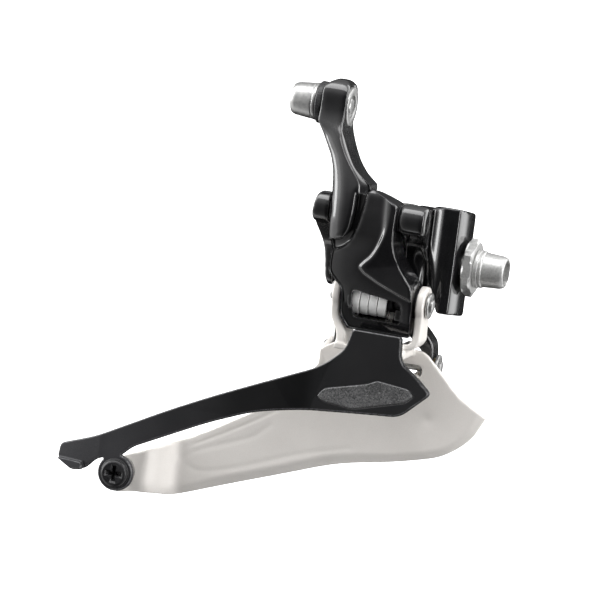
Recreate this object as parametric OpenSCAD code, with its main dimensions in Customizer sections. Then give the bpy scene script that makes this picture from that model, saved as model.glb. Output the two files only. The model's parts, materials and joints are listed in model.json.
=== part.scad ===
// Braze-on front derailleur for a double chainset, millimetres.
// Origin: axis of the mounting bolt, on the column's seat face.
// +X points forward out of the seat, +Y inboard towards the seat tube, +Z up the seat tube.
// Every pivot axis runs along X. The linkage is a true parallelogram.

/* [Linkage] */
// Outboard distance from the mounting bolt to the upper outer pivot
upper_outer_out = 17; // [16.5:0.1:17.5]
// Height of the upper outer pivot above the mounting bolt
upper_outer_up = 11; // [10.5:0.1:11.5]
// Drop from an upper pivot to the lower pivot of the same link
link_drop = 19.4; // [19:0.1:20]
// Inboard lean of both links at rest
link_lean = 3; // [2.5:0.1:3.5]
// Inboard distance from the outer link to the inner link
link_spacing = 12; // [11.5:0.1:12.5]
// Drop from an outer pivot to the inner pivot beside it
link_step = 15.8; // [15.4:0.1:16.2]
// Radius of the four pivot pins
pin_r = 1.5; // [1.4:0.05:1.6]
// Radial running clearance of a pin in its bush
run_gap = 0.05; // [0.03:0.01:0.08]

/* [Mounting] */
// Radius of the seat face that meets the frame's hanger
seat_r = 40; // [30:1:60]
// Depth of the column outboard of the bolt
seat_out = 8; // [7:0.5:9]
// Depth of the column inboard of the bolt
seat_in = 9; // [8:0.5:10]
// Radius of the M5 mounting bolt
bolt_r = 2.5; // [2.5:0.1:2.5]
// Distance across the flats of the hexagonal clamp washer
hex_flats = 12; // [11:0.5:13]

/* [Cable arm] */
// Rise of the cable clamp above the upper outer pivot
arm_rise = 22.8; // [22:0.2:23.6]
// Inboard distance from the upper outer pivot to the cable clamp
arm_reach = 7.5; // [7:0.1:8]
// Radius of the cable groove
cable_r = 0.65; // [0.6:0.05:0.75]
// Offset of the cable groove inboard of the clamp bolt
cable_offset = 3.4; // [3.2:0.1:3.6]

/* [Cage] */
// Thickness of the two cage plates
plate_t = 1.4; // [1.2:0.1:1.6]
// Clear width of the chain passage between the plates
chain_gap = 10.1; // [9.5:0.1:10.5]
// Thickness of the silver ears that carry the lower outer pin
ear_t = 1.8; // [1.6:0.1:2]

/* [Return spring] */
// Mean radius of the coil
coil_r = 3.7; // [3.6:0.05:3.8]
// Number of turns
coil_turns = 4; // [4:1:4]
// Width of the wire along the coil's axis
wire_w = 1.95; // [1.8:0.05:2]
// Thickness of the wire across the coil's axis
wire_t = 1.5; // [1.3:0.1:1.6]

/* [Hidden] */
$fn = 48;
CORNER_STEPS = 5;
CUT_SHARE = 0.48;
// Clearance of a piece that doesn't turn in its seat
FIT = 0.02;
// Length that carries a cut past the solid it is taken from
PAST = 10;

// Pivot axes as [y, z]
P1 = [-upper_outer_out, upper_outer_up];
P3 = P1 + [link_lean, -link_drop];
P2 = P1 + [link_spacing, -link_step];
P4 = P3 + [link_spacing, -link_step];
CLAMP = P1 + [arm_reach, arm_rise];

pin_hole_r = pin_r + FIT;
bush_bore_r = pin_r + run_gap;
bush_r = 2.1;
bush_hole_r = bush_r + FIT;

// Stations along X
wall_right = -12.2;
wall_left = -28.7;
link_right = -12.5;
link_left = -28.3;
barrel_left = -23.6;
barrel_right = -6.5;
ear_left = -26;
ear_right = -4.1;
column_left = -7;
coil_start = -21.2;
coil_end = -12.7;
cavity_left = -22.3;
cavity_right = -11.6;
inner_left = -28.3;
inner_right = -12.6;
arm_left = -35.4;
arm_right = -29.4;

// Stations along Y
outer_face = -20.9;
outer_back = outer_face + plate_t;
inner_front = outer_back + chain_gap;
inner_back = inner_front + plate_t;
tongue_front = -16;
shelf_top = -19.8;
shelf_right = -7;
tail_x = -71.5;
tail_z = -58.6;

boss_r = 3.6;
inner_boss_r = 3.8;
barrel_r = 5.2;
ear_r = 4.3;
coil_room_r = 4.75;
// Limit screws: thread, tapped hole, head, the counterbore's floor and the nylon lock ring
screw_r = 1.5;
screw_hole_r = 1.53;
screw_head_r = 2.3;
screw_seat = 10.3;
lock_r = 2.2;
lock_bottom = 5;
lock_top = 6.6;
block_top = 12.5;
low_screw = [-14.8, -1];
high_screw = [-18.8, -6.4];
low_tip = -2.25;
high_tip = 0.3;
wing_top = -2.3;
// Screw that holds the arm from behind, as [x, z]
arm_screw_at = [-25.8, 6.2];
arm_screw_r = 1.25;
arm_screw_head_r = 2.2;
arm_screw_seat = -13.6;
// Cable clamp: bolt, threaded insert and the insert's flange
clamp_bolt_r = 2;
insert_r = 3.2;
flange_r = 4.5;
flange_t = 0.7;
washer_left = -37.18;
// Cage: rivets, the screw at the tail, the lower pins' heads and their clips
rivet_x = [-16.5, -10];
rivet_z = -23.4;
rivet_r = 1.2;
tail_screw_r = 2;
pin_head_r = 2.5;
clip_w = 0.7;

// The spring's two straight legs run up into the outer link and down to the cage's shelf
SPRING_STEPS = 20;
SPRING_UP = 7.6;
SPRING_DOWN = 11.35;
WIRE_CORNER = 0.3;

function unit(v) = v / norm(v);
function flat(p) = [p.x, p.y];
// Rounds each corner [x, y, cut] of an outline with a curve that starts and ends at the cut length,
// which never takes more than its share of an edge
function rounded(pts) = [
    for (i = [0:len(pts) - 1])
        let (
            a = flat(pts[(i + len(pts) - 1) % len(pts)]),
            b = flat(pts[i]),
            c = flat(pts[(i + 1) % len(pts)]),
            cut = min(pts[i][2], CUT_SHARE * norm(a - b), CUT_SHARE * norm(c - b))
        )
        for (k = [0:(cut > 0 ? CORNER_STEPS : 0)])
            let (s = cut > 0 ? k / CORNER_STEPS : 0, p = b + unit(a - b) * cut, q = b + unit(c - b) * cut)
            cut > 0 ? (1 - s) * (1 - s) * p + 2 * s * (1 - s) * b + s * s * q : b
];

// Extrudes an outline drawn in X and Z between two stations along Y
module slab_xz(pts, y0, y1) {
    translate([0, y1, 0])
        rotate([90, 0, 0])
            linear_extrude(y1 - y0)
                polygon(rounded(pts));
}

// Extrudes an outline drawn in Y and Z between two stations along X
module slab_yz(pts, x0, x1) {
    translate([x0, 0, 0])
        rotate([90, 0, 90])
            linear_extrude(x1 - x0)
                polygon(rounded(pts));
}

// Extrudes an outline drawn in X and Y between two heights
module slab_xy(pts, z0, z1) {
    translate([0, 0, z0])
        linear_extrude(z1 - z0)
            polygon(rounded(pts));
}

module box(low, high) {
    translate(low)
        cube(high - low);
}

// Round bar or hole along X at a pivot [y, z]
module rod_x(at, x0, x1, r) {
    translate([x0, at[0], at[1]])
        rotate([0, 90, 0])
            cylinder(r = r, h = x1 - x0);
}

module cone_x(at, x0, x1, r0, r1) {
    translate([x0, at[0], at[1]])
        rotate([0, 90, 0])
            cylinder(r1 = r0, r2 = r1, h = x1 - x0);
}

// Round bar or hole along Y at [x, z]
module rod_y(at, y0, y1, r) {
    translate([at[0], y1, at[1]])
        rotate([90, 0, 0])
            cylinder(r = r, h = y1 - y0);
}

module rod_z(at, z0, z1, r) {
    translate([at[0], at[1], z0])
        cylinder(r = r, h = z1 - z0);
}

module ring_x(at, x0, x1, r_out, r_in) {
    difference() {
        rod_x(at, x0, x1, r_out);
        rod_x(at, x0 - 1, x1 + 1, r_in);
    }
}

// Cross recess for a Phillips driver, opening upwards from z = 0
module cross_recess(span, depth) {
    for (turn = [0, 90])
        rotate([0, 0, turn])
            translate([-span / 2, -span / 8, -depth])
                cube([span, span / 4, depth + 1]);
}

module column() {
    intersection() {
        slab_xz([[-7.6, 13.6, 1.2], [1, 14.6, 0.5], [1, -13.6, 0.5], [-2.6, -13.2, 1],
            [-5, -6.6, 2], [-6.6, 0, 2]], -seat_out, seat_in);
        slab_yz([[-8.6, 14.2, 1], [9.4, 11.3, 1.5], [9.4, -13.1, 1.5], [-8.6, -10.7, 1]], -8, 1);
        translate([-seat_r, 0, -14])
            cylinder(r = seat_r, h = 30, $fn = 180);
        slab_xy([[-7.8, -8.2, 1.2], [-2.2, -8, 1.5], [0.6, -7, 1.2], [0.6, 8.6, 1.2],
            [-2.2, 9.4, 1.5], [-7.8, 8, 1.5]], -14, 16);
    }
}

// Cheek beside the links, seen along X; it carries the front ends of the two upper pins
module front_cheek() {
    slab_yz([[-17.6, 14.3, 1], [-8.6, 13.2, 2], [-3, 12, 2], [3.4, 8, 2], [3.4, -5, 2], [-2, -8.4, 2],
        [-6.4, -8.4, 2], [-8.8, -5.4, 2], [-8.8, 2, 3], [-11, 5.2, 2], [-17.4, 7.6, 1]],
        wall_right, column_left + 0.4);
    rod_x(P1, wall_right, -5.8, boss_r);
    rod_x(P2, wall_right, column_left + 1, inner_boss_r);
}

// Cheek at the tail end of the links, tapered towards its foot
module rear_cheek() {
    intersection() {
        union() {
            slab_yz([[-17.6, 14.3, 1], [-12.4, 12.2, 2], [-5, 10.4, 2], [3.4, 8.4, 2], [3.4, 1, 2],
                [-2, -8.2, 2], [-6.4, -8.4, 2], [-8.8, -5.4, 2], [-9.6, 1, 3], [-17.4, 7.6, 1]],
                -33.5, wall_left);
            rod_x(P1, -33.5, wall_left, boss_r);
            rod_x(P2, -33.5, wall_left, inner_boss_r);
        }
        slab_xz([[-32.2, 14.6, 1.5], [-28, 15, 0], [-28, -9, 0], [-30.6, -9, 1], [-31.4, 0, 3],
            [-32.9, 8.5, 2]], -22, 6);
    }
}

// Block that joins the cheeks above the links and holds the limit screws
module screw_block() {
    slab_yz([[-9.4, 5, 0.5], [-9.4, 11.2, 1], [-8, block_top, 0.5], [1.6, block_top, 1.5],
        [3.4, 9, 1.5], [3.4, 5, 1]], -21.5, column_left);
    slab_yz([[-8, 5, 0.5], [-8, 10, 1], [-6, 11, 1], [3.4, 9.4, 1.5], [3.4, 5, 1]], wall_left - 0.5, -21);
}

module main_body() {
    color("#1b1b1d")
        difference() {
            union() {
                column();
                front_cheek();
                rear_cheek();
                screw_block();
            }
            rod_x(P1, wall_left - PAST, -7.8, pin_hole_r);
            rod_x(P2, wall_left - PAST, -4.6, pin_hole_r);
            rod_x([0, 0], -9, 2, bolt_r + FIT);
            for (at = [low_screw, high_screw]) {
                rod_z(at, 0, block_top + PAST, screw_hole_r);
                rod_z(at, screw_seat, block_top + PAST, screw_head_r + 0.3);
                rod_z(at, 3, lock_top, lock_r + FIT);
            }
        }
}

module mounting_bolt() {
    color("silver")
        difference() {
            union() {
                rod_x([0, 0], -6, 3.4, bolt_r);
                rod_x([0, 0], 3, 4.9, 4.6);
                cone_x([0, 0], 4.9, 9.6, 4.3, 3.95);
                cone_x([0, 0], 9.6, 10.1, 3.95, 3.5);
            }
            translate([6, 0, 0])
                rotate([0, 90, 0])
                    cylinder(r = 2.89, h = 8, $fn = 6);
        }
}

module clamp_washer_hex() {
    color("silver")
        difference() {
            intersection() {
                translate([0.75, 0, 0])
                    rotate([0, 90, 0])
                        cylinder(r = hex_flats / sqrt(3), h = 2.2, $fn = 6);
                cone_x([0, 0], 0.5, 2.95, 8.2, 6.4);
            }
            rod_x([0, 0], 0, 4, bolt_r + FIT);
        }
}

module upper_outer_pin() {
    color("silver")
        rod_x(P1, -32.4, -8.1, pin_r);
}

module upper_inner_pin() {
    color("silver")
        rod_x(P2, -31.2, -4.9, pin_r);
}

module screw_lock_inserts() {
    color("white")
        for (at = [low_screw, high_screw])
            difference() {
                rod_z(at, lock_bottom, lock_top - FIT, lock_r);
                rod_z(at, lock_bottom - 1, lock_top + 1, screw_hole_r);
            }
}

module limit_screw(at, tip) {
    color("silver")
        difference() {
            union() {
                rod_z(at, tip, screw_seat + 0.2, screw_r);
                rod_z(at, screw_seat + 0.1, block_top - 0.2, screw_head_r);
            }
            translate([at[0], at[1], block_top - 0.2])
                cross_recess(3, 1.1);
        }
}

module limit_screw_low() {
    limit_screw(low_screw, low_tip);
}

module limit_screw_high() {
    limit_screw(high_screw, high_tip);
}

// The pocket in the link's front that the foot of the cable arm sits in
module arm_pocket() {
    slab_xz([[-30, 18, 0], [-19.9, 18, 0], [-20.4, 12, 3], [-21.6, 6.4, 2.5], [-24, 2.8, 2],
        [-30, 0.2, 0]],
        -26, -19.6);
}

module outer_link() {
    color("#1b1b1d")
        difference() {
            union() {
                intersection() {
                    slab_xz([[link_left, 15.6, 0.8], [-19.6, 16.2, 0.3], [-19.2, 17, 0.5],
                        [-16.9, 16, 1.5],
                        [link_right, 14.2, 0.8], [link_right, 5, 2.5], [-11.1, 0.8, 2], [-6.6, -4.6, 1.2],
                        [barrel_right, -16.4, 0.8], [-21.3, -16.4, 0.6], [barrel_left, -13.2, 0.8],
                        [barrel_left, -6.8, 1.2],
                        [-27.2, -3.6, 1.2], [-27, 2, 1.5], [link_left, 5, 1.5]], -24, -5);
                    slab_yz([[-20.6, 17.2, 2], [-14.6, 16.2, 2], [-12.6, 11, 3], [-11.4, 3, 3],
                        [-10, -3.4, 3], [-9.6, -9, 2], [-13.6, -13.6, 1.5], [-16.6, -16.2, 0.4],
                        [-18.4, -16.1, 0.4], [-19.7, -9, 3],
                        [-20.6, 0, 4], [-21.5, 9, 3]], -30, -5);
                }
                rod_x(P3, barrel_left, barrel_right, barrel_r);
            }
            arm_pocket();
            rod_x(P1, -40, 0, bush_hole_r);
            rod_x(P3, -40, 0, bush_hole_r);
            rod_x(P3, cavity_left, cavity_right, coil_room_r);
            rod_x(P3, -30, barrel_left, ear_r + 0.8);
            slab_xz([[-20.9, -6.8, 0.8], [-9.2, -8.2, 1.2], [-9, -13.2, 0.8], [-20.4, -13.2, 0.8]],
                -24, -15);
            box([-14, -12.6, -16], [cavity_right, -5, -3.5]);
            box([cavity_left, -11.8, -9], [-20.2, -5, 0.4]);
            slab_xz([[-23, -2.6, 1], [-15, -2.6, 1], [-15, 5.4, 1], [-23, 5.4, 1]], -13.6, -5);
            rod_y(arm_screw_at, -30, 0, arm_screw_r + FIT);
            rod_y(arm_screw_at, arm_screw_seat, 0, arm_screw_head_r + 0.2);
        }
}

// The cable's groove, shared by the arm's left face and the washer
module cable_groove() {
    rod_z([arm_left, CLAMP[0] + cable_offset], 20, 50, cable_r);
}

module cable_arm() {
    color("#1b1b1d")
        difference() {
            intersection() {
                slab_xz([[arm_left, 38.6, 1.5], [-33.4, 39.9, 1], [-30.6, 39.9, 0.8],
                    [arm_right, 38.7, 0.8],
                    [arm_right, 29.2, 1.2], [-27.2, 25.2, 3], [-24.2, 21, 3], [-19.6, 17.3, 0.5],
                    [-19.8, 16.4, 0.2], [-22.3, 16.4, 0.5], [-22.2, 12, 2], [-22.8, 7, 2],
                    [-24.6, 4.2, 1.2], [-28.1, 4, 0.6],
                    [-28.2, 14, 4], [-29.6, 21.6, 4], [-33.4, 27.2, 3], [arm_left, 30.2, 1]], -26, -2);
                slab_yz([[-21.6, 3.4, 0.8], [-22.8, 8, 2], [-22.7, 14, 4], [-20.8, 20, 4], [-17.8, 27, 4],
                    [-14.7, 32, 2.5], [-14.5, 37.6, 2], [-12, 39.9, 1.5], [-6.8, 39.9, 2], [-4.5, 37, 2],
                    [-4.5, 32, 2], [-6.2, 28, 3], [-10, 22.6, 3], [-12.6, 18.8, 1], [-12.8, 16.4, 0.4],
                    [-19.6, 16.4, 0.2], [-19.6, 3.4, 0.4]], -45, -10);
            }
            rod_x(CLAMP, arm_left - PAST, arm_right + PAST, clamp_bolt_r + FIT);
            rod_x(CLAMP, arm_right - 3.6, arm_right + PAST, insert_r + FIT);
            rod_x(CLAMP, arm_right - flange_t, arm_right + PAST, flange_r + FIT);
            cable_groove();
            rod_y(arm_screw_at, -21.2, 0, arm_screw_r + FIT);
        }
}

module arm_screw() {
    color("silver")
        difference() {
            union() {
                rod_y(arm_screw_at, -21.1, arm_screw_seat + 0.1, arm_screw_r);
                rod_y(arm_screw_at, arm_screw_seat, arm_screw_seat + 1.3, arm_screw_head_r);
            }
            translate([arm_screw_at[0], arm_screw_seat + 1.3, arm_screw_at[1]])
                rotate([-90, 0, 0])
                    cross_recess(2.6, 0.8);
        }
}

module cable_clamp_bolt() {
    color("silver")
        difference() {
            union() {
                cone_x(CLAMP, -43.3, -42.6, 3.3, 3.9);
                cone_x(CLAMP, -42.6, -37.2, 3.9, 4.4);
                rod_x(CLAMP, -37.3, -29.1, clamp_bolt_r);
            }
            translate([-46, CLAMP[0], CLAMP[1]])
                rotate([0, 90, 0])
                    cylinder(r = 2.31, h = 5.6, $fn = 6);
        }
}

module cable_washer() {
    color("#303032")
        difference() {
            ring_x(CLAMP, washer_left, arm_left - 0.03, 5, clamp_bolt_r + FIT);
            cable_groove();
        }
}

module cable_insert() {
    color("silver")
        difference() {
            union() {
                rod_x(CLAMP, arm_right - 3.5, arm_right, insert_r);
                rod_x(CLAMP, arm_right - flange_t, arm_right + 0.3, flange_r);
            }
            rod_x(CLAMP, arm_left, arm_right + PAST, clamp_bolt_r + FIT);
            rod_x(CLAMP, arm_right - 0.3, arm_right + PAST, 2.6);
        }
}

module upper_link_bushes() {
    color("#c9b27c") {
        ring_x(P1, link_left, link_left + 4.4, bush_r, bush_bore_r);
        ring_x(P1, link_right - 4.4, link_right, bush_r, bush_bore_r);
    }
}

module lower_link_bushes() {
    color("#c9b27c") {
        ring_x(P3, barrel_left, cavity_left, bush_r, bush_bore_r);
        ring_x(P3, cavity_right, barrel_right, bush_r, bush_bore_r);
    }
}

module upper_thrust_washers() {
    color("#303032") {
        ring_x(P1, wall_left + 0.03, link_left - 0.04, 3, pin_r + 0.1);
        ring_x(P1, link_right + 0.04, wall_right - 0.03, 3, pin_r + 0.1);
    }
}

module inner_link() {
    right_arm_x = -6.2;
    left_arm_x = -24.5;
    color("#1b1b1d")
        difference() {
            union() {
                intersection() {
                    slab_xz([[inner_left, -1, 0.5], [inner_right, -1, 0.5], [inner_right, -10.2, 1.5],
                        [-6.8, -14.7, 2], [-3.6, -18.4, 1.5], [-3.2, -28, 0], [-27.5, -28, 0],
                        [-27.5, -17, 1.5], [inner_left, -12, 1.5]], -12, 6);
                    union() {
                        slab_yz([[-8.2, -5, 0], [-1.8, -4.4, 0], [0.9, -24, 0], [-5, -24.6, 0]], -30, 0);
                        rod_x(P2, -30, 0, 3.2);
                        rod_x(P4, -30, 0, 3);
                    }
                }
                box([inner_right - 4.6, -3.4, wing_top - 3.4], [inner_right, 1, wing_top]);
                box([-20, -9.6, wing_top - 2.6], [-17, -5, wing_top]);
            }
            rod_x(P2, -40, 0, bush_hole_r);
            rod_x(P4, -40, 0, bush_hole_r);
            slab_xz([[left_arm_x, -16.5, 2], [-10.4, -16.5, 2], [right_arm_x, -20.4, 0.5],
                [right_arm_x, -30, 0], [left_arm_x, -30, 0]], -12, 6);
        }
}

module inner_link_bushes() {
    color("#c9b27c") {
        ring_x(P2, inner_left, inner_left + 4, bush_r, bush_bore_r);
        ring_x(P2, inner_right - 4, inner_right, bush_r, bush_bore_r);
        ring_x(P4, -27.4, -24.5, bush_r, bush_bore_r);
        ring_x(P4, -6.2, -3.3, bush_r, bush_bore_r);
    }
}

// Outline of the inner plate seen from the side, from the tail along the lower edge to the nose and back
module inner_blade() {
    intersection() {
        slab_xz([[-73.2, -64, 1.2], [-68.3, -63.3, 2], [-64.6, -63.2, 1.5], [-60.5, -63.8, 2.5],
            [-48.5, -59.2, 6], [-35.3, -54.4, 6], [-22, -49.4, 6], [-8, -46.8, 6], [3, -43.8, 5],
            [9, -38.8, 3],
            [11.7, -33, 0.4], [4.6, -29, 3], [0.2, -24.2, 2.5], [-4.6, -19.9, 1.5], [-24, -19.9, 1.5],
            [-29.2, -22.9, 1.2], [-28.9, -26, 2],
            [-37, -36.6, 6], [-55, -47.9, 6], [-64.3, -52, 2], [-73.6, -55.9, 1.2]], -20, 0);
        slab_xy([[13, inner_front + 0.9, 0], [2, inner_front, 4], [-61.2, inner_front, 1.5],
            [-64.6, tongue_front, 1.2], [-75, tongue_front, 0], [-75, tongue_front + plate_t, 0],
            [-65.4, tongue_front + plate_t, 1.5], [-62, inner_back, 1.2], [2, inner_back, 4],
            [13, inner_back + 0.9, 0]], -70, -10);
    }
}

// Ear that stands on the shelf between two stations along X
module ear_profile(x0, x1) {
    slab_yz([[-17.8, -8.4, 1], [-10.2, -8.4, 1], [-10.6, -14, 2], [-9.2, shelf_top - 1, 0],
        [-18, shelf_top - 1, 0], [-17.2, -14, 2]], x0, x1);
}

// The tail ear is bent forward towards its foot, beside the slanted edge of the link's skirt
module tail_ear() {
    rod_x(P3, ear_left, ear_left + ear_t, ear_r);
    intersection() {
        ear_profile(ear_left, ear_left + 6);
        slab_xz([[ear_left, -4, 0], [ear_left + ear_t, -4, 0], [ear_left + ear_t, -13.4, 1.5],
            [-21.6, -17, 1.5], [-21.6, -22, 0], [-23.8, -22, 0], [-23.8, -17.6, 1.5],
            [ear_left, -14, 1.5]], -20, -8);
    }
}

// The nose ear turns in at its foot, and a narrow web joins it to the shelf
module nose_ear() {
    ear_inside = ear_right - ear_t;
    rod_x(P3, ear_inside, ear_right, ear_r);
    intersection() {
        ear_profile(-9, ear_right);
        slab_xz([[ear_inside, -4, 0], [ear_right, -4, 0], [ear_right, -17.2, 1.4], [-5.6, -18.9, 1.2],
            [-6.9, -19, 0.3], [-6.9, -21, 0], [-8.9, -21, 0], [-8.9, -17.9, 0.6], [-6.6, -17.6, 0.3],
            [ear_inside, -16.4, 0.6]], -20, -8);
    }
}

// Lug on the inboard side that carries the lower inner pin
module inner_lug(x0, x1, top) {
    slab_yz([[inner_front, top, 0], [inner_front, -29, 0], [-4, -27.2, 1], [P4[0], P4[1], 0],
        [-4, -21.4, 1]], x0, x1);
    rod_x(P4, x0, x1, 3.2);
}

module inner_cage_plate() {
    color("#d9d4ce")
        difference() {
            union() {
                inner_blade();
                box([-24, outer_back + plate_t, shelf_top - plate_t], [shelf_right, inner_back, shelf_top]);
                slab_xz([[-19.4, -17.4, 0.6], [-7.6, -17.4, 0.6], [-7.6, -25.4, 1], [-19.4, -25.4, 1]],
                    outer_back, outer_back + plate_t);
                tail_ear();
                nose_ear();
                inner_lug(-29.4, -27.8, -23.2);
                inner_lug(-8.2, -6.5, -20.4);
            }
            rod_x(P3, -40, 10, pin_hole_r);
            rod_x(P4, -40, 10, pin_hole_r);
            slab_xz([[-9.8, -23.3, 1.3], [-4.5, -23.3, 1.3], [-4.5, -26.3, 1.3], [-9.8, -26.3, 1.3]], -12, 0);
            rod_y([tail_x, tail_z], -30, 0, tail_screw_r + FIT);
            for (x = rivet_x)
                rod_y([x, rivet_z], outer_back - 1, -15, rivet_r + FIT);
        }
}

module inlay_outline(y0, y1) {
    slab_xz([[-25.6, -32.4, 0.4], [-24.2, -30.4, 1], [-14.2, -27.8, 0.8], [-11.8, -26.6, 0.8],
        [-4.2, -27.4, 0.8], [-2.9, -28.8, 0.4], [-4.6, -30.6, 1], [-15.2, -33.6, 0.8], [-17, -34.1, 0.8],
        [-24, -33.4, 1]], y0, y1);
}

module outer_cage_plate() {
    color("#26262a")
        difference() {
            union() {
                slab_xz([[-86.3, -57.2, 0.6], [-85.9, -54, 0.8], [-77.7, -51, 3], [-61.3, -42.1, 4],
                    [-50.5, -36.7, 5], [-38, -31, 5], [-25.4, -25.4, 4], [-20.4, -20.6, 2],
                    [-19.2, -15.7, 0.6], [-7.4, -15.7, 0.8],
                    [-7, -21.4, 2], [-2.2, -24.8, 1], [1.1, -27.8, 1.2], [-5.6, -34.2, 2],
                    [-15.3, -35, 4],
                    [-29.3, -36.3, 4], [-40, -38.6, 4], [-51, -43.2, 4], [-68.4, -52, 3], [-71, -54.8, 2],
                    [-76.2, -55.8, 1.5], [-79.2, -59, 1], [-82, -59.5, 1]], outer_face, outer_back);
                rod_y([tail_x, tail_z], outer_face, outer_back, 4.3);
                slab_xz([[-86.3, -57.2, 0.6], [-79.8, -57.4, 0.6], [-79.2, -59, 0.6], [-82, -59.5, 1]],
                    outer_face - 1.6, outer_back);
            }
            inlay_outline(-25, outer_face + 0.4);
            rod_y([tail_x, tail_z], -30, 0, 2.15);
            for (x = rivet_x)
                rod_y([x, rivet_z], outer_face + 0.5, -15, rivet_r + FIT);
        }
}

module plate_inlay() {
    color("#5a5a5e")
        inlay_outline(outer_face - 0.2, outer_face + 0.4);
}

module cage_rivets() {
    color("silver")
        for (x = rivet_x) {
            rod_y([x, rivet_z], outer_face + 0.6, outer_back + plate_t + 0.1, rivet_r);
            rod_y([x, rivet_z], outer_back + plate_t, outer_back + plate_t + 0.9, 1.9);
        }
}

module clip_groove(at, x) {
    ring_x(at, x, x + clip_w, 4, 1.1);
}

module lower_outer_pin() {
    color("silver")
        difference() {
            union() {
                rod_x(P3, -26.2, -2.7, pin_r);
                cone_x(P3, -27, -26.1, 2, pin_head_r);
            }
            clip_groove(P3, -3.9);
        }
}

module lower_inner_pin() {
    color("silver")
        difference() {
            union() {
                rod_x(P4, -29.6, -1.8, pin_r);
                cone_x(P4, -30.4, -29.5, 2, pin_head_r);
            }
            clip_groove(P4, -3);
        }
}

// Spring clip in the groove of a pin, open towards the rear
module pin_clip(at, x) {
    difference() {
        ring_x(at, x + 0.05, x + clip_w - 0.05, 3, 1.15);
        box([x - 1, at[0] + 0.2, at[1] - 0.9], [x + 2, at[0] + 5, at[1] + 0.9]);
    }
}

module pin_clips() {
    color("silver") {
        pin_clip(P3, -3.9);
        pin_clip(P4, -3);
    }
}

module lower_thrust_washers() {
    color("#303032") {
        ring_x(P3, ear_left + ear_t + 0.04, barrel_left - 0.04, 3.4, pin_r + 0.1);
        ring_x(P3, barrel_right + 0.04, ear_right - ear_t - 0.04, 3.4, pin_r + 0.1);
    }
}

module spring_sleeve() {
    color("#303032")
        ring_x(P3, cavity_left + 0.1, cavity_right - 0.1, 2.8, bush_bore_r);
}

// Torsion spring: a coil of square wire with one leg up the link and one leg down to the cage
wire_outline = rounded([
    [-wire_t / 2, -wire_w / 2, WIRE_CORNER], [wire_t / 2, -wire_w / 2, WIRE_CORNER],
    [wire_t / 2, wire_w / 2, WIRE_CORNER], [-wire_t / 2, wire_w / 2, WIRE_CORNER]]);
coil_stations = [
    for (i = [0:SPRING_STEPS * coil_turns])
        let (turn = i / SPRING_STEPS)
        [coil_start + (coil_end - coil_start) * turn / coil_turns, -360 * turn, 0]
];
spring_stations = concat([[coil_start, 0, SPRING_UP]], coil_stations, [[coil_end, 0, -SPRING_DOWN]]);

// One ring of points: station is [x, angle around the pin, straight rise along the leg]
function wire_ring(station) = [
    for (p = wire_outline)
        let (r = coil_r + p.x, a = station[1])
        [station[0] + p.y, P3[0] + r * cos(a), P3[1] + r * sin(a) + station[2]]
];

module return_spring() {
    sides = len(wire_outline);
    rings = len(spring_stations);
    points = [for (s = spring_stations) each wire_ring(s)];
    walls = [
        for (i = [0:rings - 2], k = [0:sides - 1])
            let (a = i * sides + k, b = i * sides + (k + 1) % sides)
            [a, a + sides, b + sides, b]
    ];
    first_cap = [for (k = [0:sides - 1]) k];
    last_cap = [for (k = [sides - 1:-1:0]) (rings - 1) * sides + k];
    color("silver")
        polyhedron(points = points, faces = concat(walls, [first_cap, last_cap]), convexity = 8);
}

module tail_screw() {
    color("#1b1b1d")
        difference() {
            union() {
                rod_y([tail_x, tail_z], outer_face - 0.1, tongue_front + plate_t + 0.6, tail_screw_r);
                rod_y([tail_x, tail_z], outer_face - 1.1, outer_face, 3.5);
                translate([tail_x, outer_face - 1.1, tail_z])
                    rotate([90, 0, 0])
                        cylinder(r1 = 3.5, r2 = 2.6, h = 0.6);
            }
            translate([tail_x, outer_face - 1.7, tail_z])
                rotate([90, 0, 0])
                    cross_recess(3.8, 1.3);
        }
}

module tail_spacer() {
    color("silver")
        difference() {
            rod_y([tail_x, tail_z], outer_back, tongue_front, 3.4);
            rod_y([tail_x, tail_z], -30, 0, 2.1);
        }
}

main_body();
mounting_bolt();
clamp_washer_hex();
upper_outer_pin();
upper_inner_pin();
screw_lock_inserts();
limit_screw_low();
limit_screw_high();
outer_link();
cable_arm();
arm_screw();
cable_clamp_bolt();
cable_washer();
cable_insert();
upper_link_bushes();
lower_link_bushes();
upper_thrust_washers();
inner_link();
inner_link_bushes();
inner_cage_plate();
outer_cage_plate();
plate_inlay();
cage_rivets();
lower_outer_pin();
lower_inner_pin();
pin_clips();
lower_thrust_washers();
spring_sleeve();
return_spring();
tail_screw();
tail_spacer();
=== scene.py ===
import json
import math

import bmesh
import bpy
import numpy as np
from mathutils import Matrix, Vector
from mathutils.kdtree import KDTree


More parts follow.
